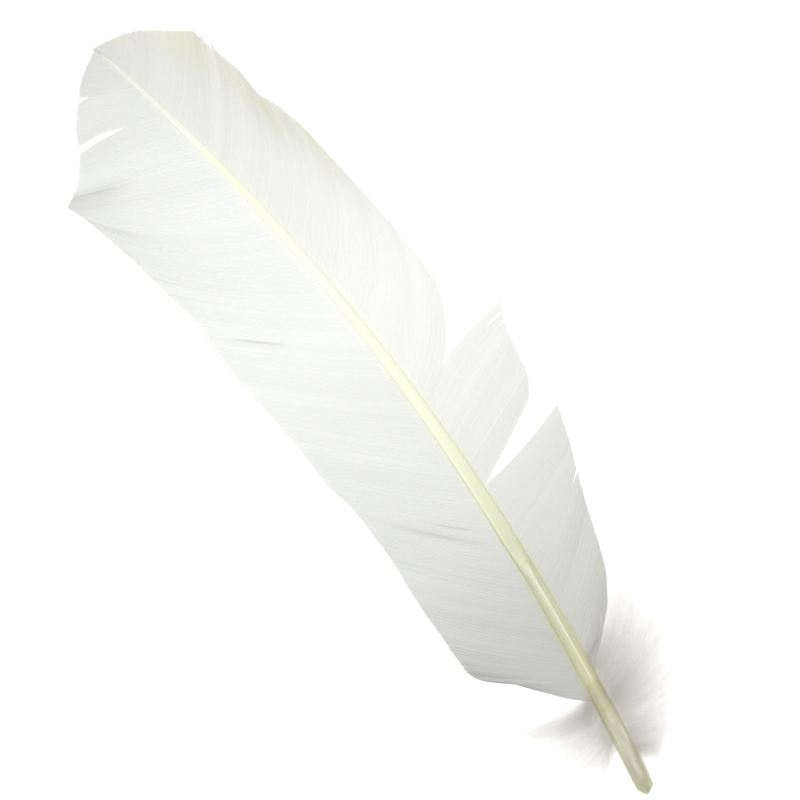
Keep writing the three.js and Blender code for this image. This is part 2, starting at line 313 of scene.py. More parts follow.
def vaneMaterial():
    # white keratin web of hooked barbs: matte, light comes through it, each barb has a tone of its own,
    # with painted light and shade in it
    material, tree = newMaterial("whiteKeratinVane")
    # painted shade: the colour along the quill darkens towards the base and the tip, where the light falls
    # off
    ramp = alongRamp(tree, vaneFinish["stops"])
    yellowed = addNode(tree, "ShaderNodeAttribute", attribute_name="barbOlive")
    white = addNode(tree, "ShaderNodeMix", {
        "Factor": yellowed.outputs["Fac"], 6: ramp.outputs["Color"], 7: linear(vaneFinish["olive"])},
        data_type="RGBA")
    horny = addNode(tree, "ShaderNodeAttribute", attribute_name="barbHorn")
    tinted = addNode(tree, "ShaderNodeMix", {
        "Factor": horny.outputs["Fac"], 6: white.outputs[2], 7: linear(vaneFinish["rootTint"])},
        data_type="RGBA", blend_type="MULTIPLY")
    tone = addNode(tree, "ShaderNodeAttribute", attribute_name="barbToneAndShade")
    colour = addNode(tree, "ShaderNodeVectorMath", {0: tinted.outputs[2], 1: tone.outputs["Fac"]},
                     operation="MULTIPLY")
    web = addNode(tree, "ShaderNodeBsdfPrincipled", {
        "Base Color": colour.outputs["Vector"], "Roughness": vaneFinish["roughness"], "IOR": keratinIor,
        "Specular IOR Level": vaneFinish["shine"]})
    glow = addNode(tree, "ShaderNodeBsdfTranslucent", {"Color": colour.outputs["Vector"]})
    mix = addNode(tree, "ShaderNodeMixShader", {
        "Fac": vaneFinish["throughLight"], 1: web.outputs["BSDF"], 2: glow.outputs["BSDF"]})
    addNode(tree, "ShaderNodeOutputMaterial", {"Surface": mix.outputs["Shader"]})
    return material


# Shaft
shaftFinish = {
    # [mm along, colour]
    "stops": [(0, "8f8e70"), (8, "8f8e78"), (20, "a09f89"), (30, "9a997d"), (36, "8f8e72"), (42, "a0a080"),
              (50, "9fa07e"), (60, "9fa080"), (74, "a2a485"), (84, "9d9f81"), (92, "a6a98b"),
              (105, "b2b597"), (130, "c0c3a8"), (160, "c8cbb4"), (200, "cccec2"), (235, "cbcdb8"),
              (260, "cacbbd"), (285, "c2c4b9"), (300, "bcbeb6")],
    "stainAndShade": "8d7f50",  # tan marks, and painted shade along both edges of the lower rachis
    "gloss": 0.3,  # roughness of the polished horn just above the calamus
    "matte": 0.62,  # and of the scuffed calamus
    "shine": 1.0,  # specular level, for the soft gloss of horn
}


def shaftMaterial():
    # cleaned horn: pale yellow and smooth with a soft shine, scuffed matt in the bare calamus
    material, tree = newMaterial("paleHornShaft")
    ramp = alongRamp(tree, shaftFinish["stops"])
    stainAndShade = addNode(tree, "ShaderNodeAttribute", attribute_name="hornStainAndShade")
    mixed = addNode(tree, "ShaderNodeMix", {
        "Factor": stainAndShade.outputs["Fac"], 6: ramp.outputs["Color"], 7: linear(shaftFinish["stainAndShade"])},
        data_type="RGBA")
    tone = addNode(tree, "ShaderNodeAttribute", attribute_name="hornToneAndLight")
    colour = addNode(tree, "ShaderNodeVectorMath", {0: mixed.outputs[2], 1: tone.outputs["Fac"]},
                     operation="MULTIPLY")
    dull = addNode(tree, "ShaderNodeAttribute", attribute_name="hornDull")
    roughness = addNode(tree, "ShaderNodeMapRange", {
        "Value": dull.outputs["Fac"], "To Min": shaftFinish["gloss"], "To Max": shaftFinish["matte"]})
    horn = addNode(tree, "ShaderNodeBsdfPrincipled", {
        "Base Color": colour.outputs["Vector"], "Roughness": roughness.outputs["Result"],
        "IOR": keratinIor, "Specular IOR Level": shaftFinish["shine"]})
    addNode(tree, "ShaderNodeOutputMaterial", {"Surface": horn.outputs["BSDF"]})
    return material


shaft = {
    "seed": 11,
    "rows": 460,
    "rowSpread": (0.7, 0.3),  # square and straight share of how they spread, close at the calamus end
    "around": 96,
    "roundPower": 2.0,  # superellipse power of the calamus section
    "boxyPower": 2.1,  # of the lower rachis
    "flatPower": 5.0,  # and above the twist, where the top is a flat face
    "twistFrom": 76.0,
    "twistTo": 94.0,
    "faceSlope": 0.3,  # how the flat face falls towards the outer vane
    "grooveDepth": 0.16,  # under the rachis, over its height
    "grooveWidth": 0.35,  # radians
    "unevenness": 0.012,  # of its width
    "unevenReach": 7,  # rows
    "endWidth": 5.5,  # the calamus is cut off nearly as wide as it is
    "endLength": 20.0,  # and is nowhere thinner than that on this stretch
    "endHeight": 0.5,  # and is pressed down to this share of its height
    "endPoint": -1.0,  # where across the cut comes to a point
    "endSlopes": (1.72, 0.42),  # of the two sides of the cut, inner and outer
    "endReach": 9.0,  # mm over which the cut's shape fades
    "pitDepth": 2.2,  # the small hole in the calamus end
    # its rings from the bottom out: width over the end's, depth over pitDepth
    "pitRings": [[0.3, 1.0], [0.75, 0.6], [0.85, 0.15]],
    "matteFrom": 44.0,  # the horn gets duller below this
    "matteTo": 36.0,  # and is matte from here to the end
    # painted light: how much lighter the horn is painted at its inner and outer side than in its middle, to
    # lift the shade of its rounded sides: [along, inner, outer]
    "sides": [[0, 0.5, 0.9], [10, 0.5, 1.3], [20, 0.8, 1.2], [30, 0.5, 0.9], [36, 0.4, 0.8],
              [42, 0.25, 0.9], [50, 0.1, 0.8], [60, 0.1, 0.6], [80, 0.08, 0.2], [105, 0.03, 0.04],
              [130, 0, 0], [300, 0, 0]],
    "sidePower": 4,  # of the way from the middle to the side, with which that grows
    "flatDull": 0.5,  # how much duller the flat face is than the round part, up to 1 for matte
    "streaks": 0.018,  # shade differences of lengthwise streaks
    "streakSizes": [[1.5, 30], [3, 60], [2, 12]],  # points around, rows
    "rachisStreaks": 0.35,  # how strong they still are on the rachis
    "mottle": 0.035,  # shade differences of the spots on the calamus
    "spotSizes": [1.2, 2.2, 4],  # points around
    "spotStretch": 2.5,  # rows over points around
    "toneLimits": (0.6, 2.0),
    # tan marks: along, off the middle, length, width, strength. The last two, long and thin along both edges,
    # are painted shade of the rounded sides
    "stainsAndShade": [[84.5, 0.2, 0.9, 1.1, 0.4], [88.5, -1.9, 3.2, 0.5, 0.1], [39.8, -0.8, 1.7, 3.0, 0.5],
               [37.6, 1.4, 1.2, 1.2, 0.35], [36.6, -1.2, 0.9, 1.3, 0.3], [31.2, -0.6, 1.6, 1.3, 0.55],
               [34.5, 1.5, 2.4, 0.5, 0.3], [12.5, -0.6, 2.2, 1.2, 0.12],
               [26, -2.1, 5, 0.5, 0.2], [4, 2.1, 3, 0.4, 0.3], [3, -2.4, 3, 0.5, 0.25],
               [67, -2.5, 24, 0.4, 0.1], [66, 2.5, 20, 0.3, 0.05]],
}


def shaftSections(rng):
    # superellipse sections x = w/2 cos^p, z = h/2 sin^p, with a face sloped on the rachis and a Gaussian
    # groove below; the end is cut along two slopes that meet in a point, and the first rings form a pit in it
    first, last = quill["shaftWidths"][0][0], quill["shaftWidths"][-1][0]
    t = np.linspace(0, 1, shaft["rows"])
    square, straight = shaft["rowSpread"]
    along = first + (last - first) * (square * t * t + straight * t)
    turn = np.linspace(0, 2 * math.pi, shaft["around"], endpoint=False)
    box = boxiness(along)[:, None]
    flat = smoothStep(along, shaft["twistFrom"], shaft["twistTo"])[:, None]
    power = shaft["roundPower"] + (shaft["boxyPower"] - shaft["roundPower"]) * box
    power = 2 / (power + (shaft["flatPower"] - shaft["boxyPower"]) * flat)
    cosine, sine = np.cos(turn)[None], np.sin(turn)[None]
    ending = (1 - smoothStep(along, 0, shaft["endReach"]))[:, None]
    leastWidth = shaft["endWidth"] * (along < shaft["endLength"])
    halfWidth = np.maximum(shaftWidth(along), leastWidth)[:, None] / 2
    halfHeight = np.maximum(shaftHeight(along), leastWidth)[:, None] / 2
    uneven = 1 + shaft["unevenness"] * smoothNoise(rng, len(along), shaft["unevenReach"])[:, None]
    x = np.sign(cosine) * np.abs(cosine) ** power * halfWidth * uneven
    z = np.sign(sine) * np.abs(sine) ** power * halfHeight * uneven
    fromBelow = np.abs(turn - 1.5 * math.pi)[None]
    z = z + np.exp(-(fromBelow / shaft["grooveWidth"]) ** 2) * shaft["grooveDepth"] * 2 * halfHeight * box
    z = z - shaft["faceSlope"] * flat * (x + halfWidth) / 2 * (1 + sine)
    z = (z + halfHeight) * (1 - (1 - shaft["endHeight"]) * ending ** 2) - halfHeight
    fromPoint = x - shaft["endPoint"]
    cut = np.maximum(-shaft["endSlopes"][0] * fromPoint, shaft["endSlopes"][1] * fromPoint)
    middle = shaftAcross(along)[:, None]
    height = shaftUnderside(along)[:, None] + halfHeight
    above = np.maximum(height + z, 0)
    rows = np.stack(np.broadcast_arrays(middle + x, along[:, None] + cut * ending, above), -1)
    mouth = rows[0]
    centre = mouth.mean(0)
    pit = [centre + (mouth - centre) * narrow + [0, deep * shaft["pitDepth"], 0]
           for narrow, deep in shaft["pitRings"]]
    return np.concatenate([np.array(pit), rows])


def buildShaft():
    # shades by place along and off the middle: Gaussian stains, two of which along the edges are painted
    # shade, blurred noise as streaks and spots, and painted light on the sides that grows with a power of the
    # way out
    rng = np.random.default_rng(shaft["seed"])
    rows = shaftSections(rng)
    along = rows[..., 1]
    off = rows[..., 0] - shaftAcross(along)
    stainAndShade = np.zeros(rows.shape[:2])
    # tan stains, and painted shade along the edges of the lower rachis
    for place, aside, long, wide, strength in shaft["stainsAndShade"]:
        stainAndShade += strength * np.exp(-((along - place) / long) ** 2 - ((off - aside) / wide) ** 2)
    around, count = shaft["around"], len(rows)
    streaks = sum(smoothNoise(rng, around, broad)[None] * smoothNoise(rng, count, long)[:, None]
                  for broad, long in shaft["streakSizes"])
    spots = sum(smoothNoise(rng, around, size)[None]
                * smoothNoise(rng, count, shaft["spotStretch"] * size)[:, None]
                for size in shaft["spotSizes"])
    dull = 1 - smoothStep(along, shaft["matteTo"], shaft["matteFrom"])
    dull = dull + shaft["flatDull"] * smoothStep(along, shaft["twistFrom"], shaft["twistTo"])
    calamus = 1 - boxiness(along)
    rachisStreaks, power = shaft["rachisStreaks"], shaft["sidePower"]
    tone = 1 + shaft["streaks"] * streaks * (rachisStreaks + (1 - rachisStreaks) * calamus)
    tone = tone + shaft["mottle"] * spots * calamus
    aside = off / (shaftWidth(along) / 2)
    places, inner, outer = np.array(shaft["sides"]).T
    # painted light: the sides are made lighter to lift the shade of the rounded horn
    tone += smoothThrough(along, places, inner) * (-aside).clip(0, 1) ** power
    tone += smoothThrough(along, places, outer) * aside.clip(0, 1) ** power
    values = {"hornStainAndShade": stainAndShade.clip(0, 1), "hornToneAndLight": tone.clip(*shaft["toneLimits"]),
              "hornDull": dull.clip(0, 1)}
    values = {name: value.ravel() for name, value in values.items()}
    makePiece("quill_shaft", rows.reshape(-1, 3), tubeFaces(1, count, around), shaftMaterial(),
              values=values, smooth=True)


# Vanes. A web is a run of barbs with no slit in it. A key barb is [along at the shaft, across at its end,
# along at its end, bow], and bow is how far the barb's middle control point stands towards the base, over
# its length. Each web has a spacing of its barbs in mm and a lift in mm over its neighbours. Between a web
# and the next there is a slit, [closed up to, open from] in shares of the barb, or None where nothing draws
# the two together. A fold is [along at the shaft, from, step, shade, reach]: from this share outwards the
# tip side lies step mm higher, and the base side is darker by shade, a painted shadow of the fold, fading
# over reach mm along the shaft. A gap is [along at the shaft, from, to, opening, step, shade, reach]:
# between these shares of their length the barbs part by opening mm, and the barbs beside it are darker by
# shade, a painted shadow in the split, fading over reach mm along the shaft. A spike is one barb, [along at
# the shaft, mm that it stands out past the edge]. A speck of dirt is [across, along, size, shade]. The
# painted shading is [along at the shaft, brightness]: painted light and shade that make a vane lighter or
# darker along the quill, as light fell on it. Yellowing is its share all over, and what is added towards
# the edge and the tip.
innerVane = {
    "name": "inner_vane",
    "side": -1,
    "seed": 21,
    "webs": [
        [[297.6, 0.7, 300, 0], [293, -4, 297.4, -0.05], [287, -8.6, 294.6, -0.1], [282, -11.8, 292, -0.13],
         [277.4, -13.5, 289.7, -0.15]],
        [[277.2, -14.8, 288.7, -0.14], [273.5, -18.8, 284.2, -0.13], [270, -21.4, 280.6, -0.12],
         [266.7, -22.9, 277.4, -0.115]],
        [[266.5, -23.9, 275.3, -0.15], [259, -28.2, 270.4, -0.08], [254, -31.4, 267.3, -0.03],
         [248, -34.2, 265.5, 0.01], [241, -37.5, 263.7, 0.06], [230, -36.4, 260.2, 0.13],
         [220, -35.2, 257, 0.17], [212, -33.8, 250.9, 0.16], [204, -32.2, 244.1, 0.14],
         [197, -30.8, 237.5, 0.12], [190, -29.8, 230.5, 0.11], [180, -28.0, 218.5, 0.07],
         [168.4, -26.4, 204.5, 0.04], [154, -26.5, 191, 0.04], [138, -25.5, 176, 0.04],
         [122, -24, 160, 0.04], [112, -23.5, 149, 0.04], [103.5, -23.3, 140.5, 0.04],
         [97, -21.7, 133, 0.04], [85, -21, 121, 0.04], [73, -21.2, 108.5, 0.04], [66, -22, 100, 0.04],
         [57, -22.7, 90, 0.04], [51, -22.8, 82, 0.04], [46, -23.1, 75, 0.04]],
        # the same web, with closer barbs where its edge turns towards the shaft
        [[46, -23.1, 75, 0.04], [43, -23.1, 66.8, 0.04], [41.2, -20.6, 61.5, 0.04],
         [40.2, -17.4, 59.5, 0.04], [39.4, -15, 58.2, 0.04], [38.6, -13.6, 55.4, 0.04],
         [37.8, -11, 51.8, 0.03], [36.8, -6.7, 46.3, 0.03], [35.2, -2.4, 41, 0.02]],
    ],
    "spacings": [0.62, 0.62, 0.62, 0.36],
    "slits": [[0.78, 1.0], [0.42, 0.7], None],
    "lifts": [0, 0.06, 0, 0],
    "folds": [
        [247.6, 0.5, 0.7, 0.2, 9], [219.6, 0.62, 0.45, 0.11, 3.5], [190, 0.45, 0.35, 0.05, 1.0],
        [183.5, 0.75, 0.3, 0.07, 1.6], [201.5, 0.88, 0.2, 0.06, 1.2], [44.6, 0.35, 0.5, 0.16, 0.7],
        [43.2, 0.25, 0.9, 0.34, 0.8], [41.6, 0.15, 0.9, 0.42, 0.8], [39.8, 0.1, 0.9, 0.4, 0.7],
        [38.2, 0.2, 0.6, 0.25, 0.6],
    ],
    "gaps": [
        [266.6, 0.42, 1.05, 1.0, 0, 0, 1], [277.3, 0.75, 1.3, 0, 0, 0.05, 1],
        [168.4, 0.47, 0.86, 0.1, 0.4, 0.16, 0.8], [92.5, 0.08, 0.84, 0.15, 0.5, 0.17, 1.3],
        [97.2, 0.08, 0.52, 0.1, 0.3, 0.14, 0.7], [121, 0.75, 0.95, 0.1, 0.3, 0.03, 0.8],
    ],
    "spikes": [[172, 2.4], [175.2, -1.2]],
    "specks": [[-5.2, 196.2, 0.35, 0.08]],
    # painted light and shade along the quill, for this vane
    "paintedShading": [[35, 1.0], [100, 1.0], [115, 1.01], [140, 0.985], [190, 0.985], [230, 0.995],
               [300, 0.99]],
    "yellowing": (0.0, 0.0),
}
outerVane = {
    "name": "outer_vane",
    "side": 1,
    "seed": 22,
    "webs": [
        [[297.2, -0.7, 300, 0], [291, 5, 299.2, 0.06], [281.5, 14, 296.6, 0.09], [274.5, 19.2, 293, 0.1],
         [267, 25, 288.6, 0.1], [261.5, 28.9, 285.6, 0.1], [257, 29.3, 283.5, 0.1], [248, 30.2, 279, 0.11],
         [240, 31.9, 272.5, 0.14], [232, 33.4, 266, 0.17], [224, 33.6, 260.5, 0.2], [217.8, 34, 256.5, 0.208],
         [211, 36, 251.7, 0.214], [205, 37.7, 246, 0.214], [197, 39.2, 238.5, 0.215],
         [186, 40.4, 227, 0.22], [176, 41.6, 216, 0.22], [166, 42.6, 204.5, 0.225], [157, 43.5, 193.5, 0.225],
         [150, 44, 184, 0.23], [143, 43.8, 174, 0.23]],
        [[144.4, 57, 155.8, -0.14], [136, 53.6, 149.6, -0.1], [128, 51.7, 142, -0.04],
         [120, 49.8, 132.6, 0], [115.2, 47.5, 128.4, 0.01], [111.8, 45.3, 125.7, 0.015]],
        [[111.6, 51.5, 118.5, 0.06], [104, 49.5, 112, 0.06], [95, 47.4, 106, 0.05], [84, 44.4, 99, 0.05],
         [70, 40.6, 89.5, 0.05], [62, 38, 82, 0.05], [55, 35, 73.5, 0.05], [48.5, 31.5, 65.5, 0.04],
         [43, 26, 57.5, 0.03]],
    ],
    "spacings": [0.62, 0.62, 0.62],
    "slits": [None, None],
    "lifts": [0.2, 0, 0.1],
    "folds": [],
    "gaps": [
        [82.0, 0.84, 1.6, 1.5, 0.1, 0, 0.8], [140.5, 0.8, 1.5, 1.2, 0.3, 0.04, 1.0],
        [137.2, 0.84, 1.5, 1.0, 0.3, 0.04, 1.0], [252.5, 0.86, 1.5, 1.0, 0, 0, 0.8],
        [245.2, 0.88, 1.5, 0.9, 0, 0, 0.8], [118, 0.05, 0.3, 0, 0.2, 0.03, 1.0],
    ],
    "spikes": [[253, 3.4], [245.8, 2.8], [218.6, -0.5], [83, 0.8], [139, 0.8]],
    "specks": [[36, 236, 0.4, 0.12]],
    # painted light and shade along the quill, for this vane
    "paintedShading": [[35, 0.985], [95, 0.985], [118, 1.025], [170, 1.03], [200, 0.99], [220, 0.98],
               [300, 0.985]],
    "yellowing": (0.22, 0.62),
}
barb = {
    # real barbs stand about 0.5 mm apart, and the vanes' spacing of 0.62 mm is just wide enough to show
    "unevenSpacing": 0.15,  # over the spacing
    "rows": 25,
    "rowSpread": 0.9,  # power of the even spread, below 1 the rows are closer towards the end
    "widths": (0.2, 1.6),  # mm, least and most
    # section from the base side over the ridge to the tip side and back under: share of the spacing, mm up.
    # The tip side lies over the next barb's base side, as hooked barbules do.
    "section": [[-0.74, -0.05], [-0.18, 0.01], [0, 0.035], [0.18, 0.02], [0.74, 0.02], [0, -0.12]],
    "rootInset": 0.37,  # how far off the shaft's middle it starts, over the shaft's width
    "fillet": (0.05, 0.12),  # how high it leaves the shaft, and how soon that fades, over the shaft's width
    # painted light: lighter next to the shaft, to lift the shade where the vane meets it: [along, share],
    # fading over paintedRootLightReach mm
    "paintedRootLight": [[0, 0.02], [60, 0.02], [110, 0.05], [300, 0.06]],
    "paintedRootLightReach": 1.0,
    "raggedness": 0.08,  # mm, how unevenly long neighbouring barbs are
    "raggedLength": 8.0,  # mm, shorter barbs are less ragged
    "broken": 0.02,  # share of the barbs whose tips are missing
    "brokenLength": 0.35,  # mm
    "spikeWidth": 0.5,  # mm along the shaft
    "tilt": 0.008,  # mm, how unevenly they lie
    "ripple": 0.12,  # mm, soft waves of whole bundles, growing towards the edge
    "rippleWidth": 7,  # barbs
    "liftFull": 0.3,  # share of the barb where its web's lift is reached
    "tipStart": 0.95,  # where the barb starts to taper
    "tipWidth": 0.6,
    "slantStart": 0.7,  # from here on the end is slanted, to lie along the vane's edge
    "slantMost": 2.6,  # over the barb's width
    "slantEvened": 3,  # neighbours on either side that it is evened out over
    "slitReach": 8.0,  # mm along the shaft over which barbs lean together beside a slit
    "stepReach": 2.0,  # mm on top of a fold's or a gap's own reach, over which its step fades
    "foldSharpness": 0.5,  # mm over which a fold's step rises
    "foldRoots": 0.1,  # how wide a fold's painted shadow still is where it starts
    "gapReach": 1.5,  # mm on top of a gap's opening, over which barbs are pushed aside
    "gapSharpness": 0.3,  # mm over which a gap's step rises
    "shadeFront": 4,  # how many times sooner a painted shadow fades on the tip side
    "grain": 0.006,  # shade differences between neighbouring barbs
    "bands": 0.009,  # and between bundles of them
    "bandWidth": 3,  # barbs
    "rootBands": 0.4,  # their strength at the root, with 1 more at the end
    "yellowFrom": (185, 250),  # mm along, where the outer vane starts to yellow and where it has
    "yellowAcross": (0.4, 0.9),  # and over which share of the barbs
    # tinted next to the shaft: [along, share], fading over hornyReach mm
    "hornyRoot": [[0, 1.0], [45, 1.0], [60, 0.75], [90, 0.6], [125, 0.42], [200, 0.3], [300, 0.3]],
    "hornyReach": 1.1,
    "patches": 0.2,  # how uneven the yellow is
    "patchWidth": 4,  # barbs
    "greyTip": (264, 286),  # roots of the barbs that are grey again
    "greyShare": 0.7,  # of the yellow that is gone there
    "lowest": 0.2,  # mm, no barb lies nearer to the surface
}


def barbKeys(vane, rng):
    # evenly spaced roots in each web, a little shaken, with what its keys give between them: the root's place
    # along, the end, the bow and the web's number
    parts = []
    for number, keys in enumerate(vane["webs"]):
        keys = np.array(keys, float)
        spacing = vane["spacings"][number]
        count = int(round((keys[0, 0] - keys[-1, 0]) / spacing))
        along = np.linspace(keys[0, 0], keys[-1, 0], 2 * count + 1)[1::2]
        along = along + barb["unevenSpacing"] * spacing * rng.uniform(-1, 1, count)
        columns = [smoothThrough(along, keys[:, 0], keys[:, k]) for k in (1, 2, 3)]
        parts.append(np.stack([along] + columns + [np.full(count, number)], -1))
    along, endAcross, endAlong, bow, web = np.concatenate(parts).T
    return along, np.stack([endAcross, endAlong], -1), bow, web.astype(int)


def barbPlans(vane, along, end, bow, f, rng):
    # each barb's plan is the quadratic curve (1-f)^2 root + 2f(1-f) middle + f^2 end
    side = vane["side"]
    root = np.stack([shaftAcross(along) + side * barb["rootInset"] * shaftWidth(along), along], -1)
    chord = end - root
    length = np.linalg.norm(chord, axis=1)
    count = len(along)
    longer = barb["raggedness"] * rng.normal(size=count)
    longer -= (rng.uniform(size=count) < barb["broken"]) * rng.uniform(0, barb["brokenLength"], count)
    for place, extra in vane["spikes"]:
        longer += extra * np.exp(-((along - place) / barb["spikeWidth"]) ** 2)
    longer *= np.clip(length / barb["raggedLength"], 0, 1)
    end = end + chord / length[:, None] * longer[:, None]
    chord = end - root
    towardsBase = np.stack([side * chord[:, 1], -side * chord[:, 0]], -1)
    middle = root + chord / 2 + towardsBase * bow[:, None]
    w = f[None, :, None]
    return (1 - w) ** 2 * root[:, None] + 2 * w * (1 - w) * middle[:, None] + w * w * end[:, None]


def closeSlits(vane, plan, along, web, lastOfWeb, f):
    # up to where a slit opens, its two sides each lean half the way over, and barbs farther off follow by an
    # exponential of the distance
    for number, slit in enumerate(vane["slits"]):
        if slit:
            above = lastOfWeb[number]
            between = plan[above + 1] - plan[above]
            spacing = vane["spacings"][number]
            between *= (1 - spacing / np.linalg.norm(between, axis=1, keepdims=True)).clip(0)
            closed = (1 - smoothStep(f, *slit))[:, None]
            near = np.exp(-np.abs(along - along[above]) / barb["slitReach"])
            near *= np.where(web <= number, 0.5, -0.5)
            plan += near[:, None, None] * (between * closed)[None]


def addFolds(vane, along, f, lift, tone):
    # a tanh step that fades exponentially to both sides, and an exponential painted shadow that is longer at
    # the base
    for place, start, step, shade, reach in vane["folds"]:
        grown = smoothStep(f, start, 1)[None]
        below = place - along[:, None]
        fading = np.exp(-np.abs(below) / (barb["stepReach"] + reach))
        lift += step * grown * np.tanh(-below / barb["foldSharpness"]) * fading / 2
        front = -barb["shadeFront"] * below
        spread = np.where(below < 0, front, below / (grown + barb["foldRoots"])) / reach
        tone *= 1 - shade * np.sqrt(grown) * np.exp(-spread)


def addGaps(vane, along, f, towardsTip, plan, lift, tone):
    # half a sine along the barb moves both sides apart, with a tanh step and a painted shadow; all fade
    # exponentially
    for place, start, stop, opening, step, shade, reach in vane["gaps"]:
        bump = np.sin(math.pi * np.clip((f - start) / (stop - start), 0, 1))[None]
        away = (along - place)[:, None]
        push = np.sign(away) * np.exp(-np.abs(away) / (barb["gapReach"] + opening))
        plan += towardsTip * (0.5 * opening * push * bump)[..., None]
        fading = np.exp(-np.abs(away) / (barb["stepReach"] + reach))
        lift += 0.5 * step * np.tanh(away / barb["gapSharpness"]) * fading * bump
        tone *= 1 - shade * bump * np.exp(-np.maximum(-away, barb["shadeFront"] * away) / reach)


def barbOlive(vane, wide, along, f, rng):
    # a smooth step along the quill times one along the barb, uneven from barb to barb
    unevenly = 1 + barb["patches"] * smoothNoise(rng, len(along), barb["patchWidth"])
    unevenly *= 1 - barb["greyShare"] * smoothStep(along, *barb["greyTip"])
    grown = smoothStep(wide[..., 1], *barb["yellowFrom"])
    grown = grown * smoothStep(f, *barb["yellowAcross"])[None, :, None]
    return vane["yellowing"][0] + grown * unevenly[:, None, None] * vane["yellowing"][1]


def buildVane(vane, material):
    # a barb's section stands across its plan, as wide as the distance to the next barb, on the vane's
    # surface; its end is sheared to lie along the vane's edge, and the painted light and the horn tint next
    # to the shaft fade exponentially from the root
    rng = np.random.default_rng(vane["seed"])
    side = vane["side"]
    f = np.linspace(0, 1, barb["rows"]) ** barb["rowSpread"]
    offsets, reliefs = np.array(barb["section"]).T
    along, end, bow, web = barbKeys(vane, rng)
    count = len(along)
    plan = barbPlans(vane, along, end, bow, f, rng)
    heading = np.gradient(plan, f, axis=1)
    heading /= np.linalg.norm(heading, axis=2, keepdims=True)
    towardsTip = np.stack([-side * heading[..., 1], side * heading[..., 0]], -1)
    step = np.diff(plan, axis=0)
    gap = -(step * towardsTip[:-1]).sum(-1)
    slant = -(step[:, -1] * heading[:-1, -1]).sum(-1) / gap[:, -1].clip(barb["widths"][0])
    gap = np.concatenate([gap, gap[-1:]]).clip(*barb["widths"])
    slant = np.concatenate([slant, slant[-1:]])
    lastOfWeb = np.flatnonzero(np.diff(web))
    gap[lastOfWeb] = gap[lastOfWeb - 1]
    slant[lastOfWeb] = slant[lastOfWeb - 1]
    evened = barb["slantEvened"]
    slant = np.convolve(np.pad(slant, evened, "edge"), np.ones(2 * evened + 1) / (2 * evened + 1), "valid")
    closeSlits(vane, plan, along, web, lastOfWeb, f)
    fromRoot = np.linalg.norm(plan - plan[:, :1], axis=-1)
    width = shaftWidth(along)[:, None]
    lift = np.array(vane["lifts"])[web][:, None] * smoothStep(f, 0, barb["liftFull"])[None]
    lift = lift + barb["fillet"][0] * width * np.exp(-fromRoot / (barb["fillet"][1] * width))
    lift = lift + barb["tilt"] * rng.normal(size=count)[:, None]
    lift += barb["ripple"] * smoothNoise(rng, count, barb["rippleWidth"])[:, None] * f[None]
    # painted light and shade of each vane along the quill, and random tone of each barb
    paintedShading, paintedRootLight = np.array(vane["paintedShading"]), np.array(barb["paintedRootLight"])
    tone = smoothThrough(along, *paintedShading.T)[:, None] + barb["grain"] * rng.normal(size=count)[:, None]
    bands = barb["bands"] * smoothNoise(rng, count, barb["bandWidth"])
    tone = tone + bands[:, None] * (barb["rootBands"] + f)[None]
    # painted light next to the shaft, fading from the root
    tone *= 1 + smoothThrough(along, *paintedRootLight.T)[:, None] * np.exp(-fromRoot / barb["paintedRootLightReach"])
    # painted shadows in the folds and the gaps
    addFolds(vane, along, f, lift, tone)
    addGaps(vane, along, f, towardsTip, plan, lift, tone)
    taper = 1 - (1 - barb["tipWidth"]) * smoothStep(f, barb["tipStart"], 1)
    wide = plan[:, :, None] + towardsTip[:, :, None] * (offsets * (gap * taper)[..., None])[..., None]
    slant = slant.clip(-barb["slantMost"], barb["slantMost"])[:, None] * smoothStep(f, barb["slantStart"], 1)
    wide = wide + heading[:, :, None] * (offsets * (gap * slant)[..., None])[..., None]
    surface = np.maximum(vaneHeight(wide[..., 0], wide[..., 1]) + lift[..., None], barb["lowest"])
    lean = barb["tilt"] * smoothNoise(rng, count, barb["bandWidth"])[:, None, None] * offsets
    height = surface + reliefs * taper[None, :, None] + lean
    points = np.concatenate([wide, height[..., None]], -1)
    shape = points.shape[:3]
    tone = np.broadcast_to(tone[..., None], shape).copy()
    for across, place, size, shade in vane["specks"]:
        tone *= 1 - shade * np.exp(-((wide[..., 0] - across) ** 2 + (wide[..., 1] - place) ** 2) / size ** 2)
    olive = barbOlive(vane, wide, along, f, rng)
    hornyRoot = np.array(barb["hornyRoot"])
    horn = smoothThrough(along, *hornyRoot.T)[:, None] * np.exp(-fromRoot / barb["hornyReach"])
    horn = np.broadcast_to(horn[..., None], shape)
    uv = np.stack(np.broadcast_arrays(along[:, None, None] / quill["length"], f[None, :, None],
                                      np.zeros(shape)), -1)[..., :2]
    values = {"barbToneAndShade": tone.ravel(), "barbOlive": olive.ravel(), "barbHorn": horn.ravel()}
    makePiece(vane["name"], points.reshape(-1, 3), tubeFaces(*shape), material,
              uv=uv.reshape(-1, 2), values=values)


# Down. A tuft is a fan of soft barbs whose ends spread round a smooth line of [across, along]
downFinish = {
    "colour": "edece9",
    "rootStainAndShadeColour": "dddbce",  # stained and painted darker next to the shaft: partly a real stain, partly painted shade of the dense down
    "roughness": 0.9,
    "shine": 0.2,
    "throughLight": 0.4,
}


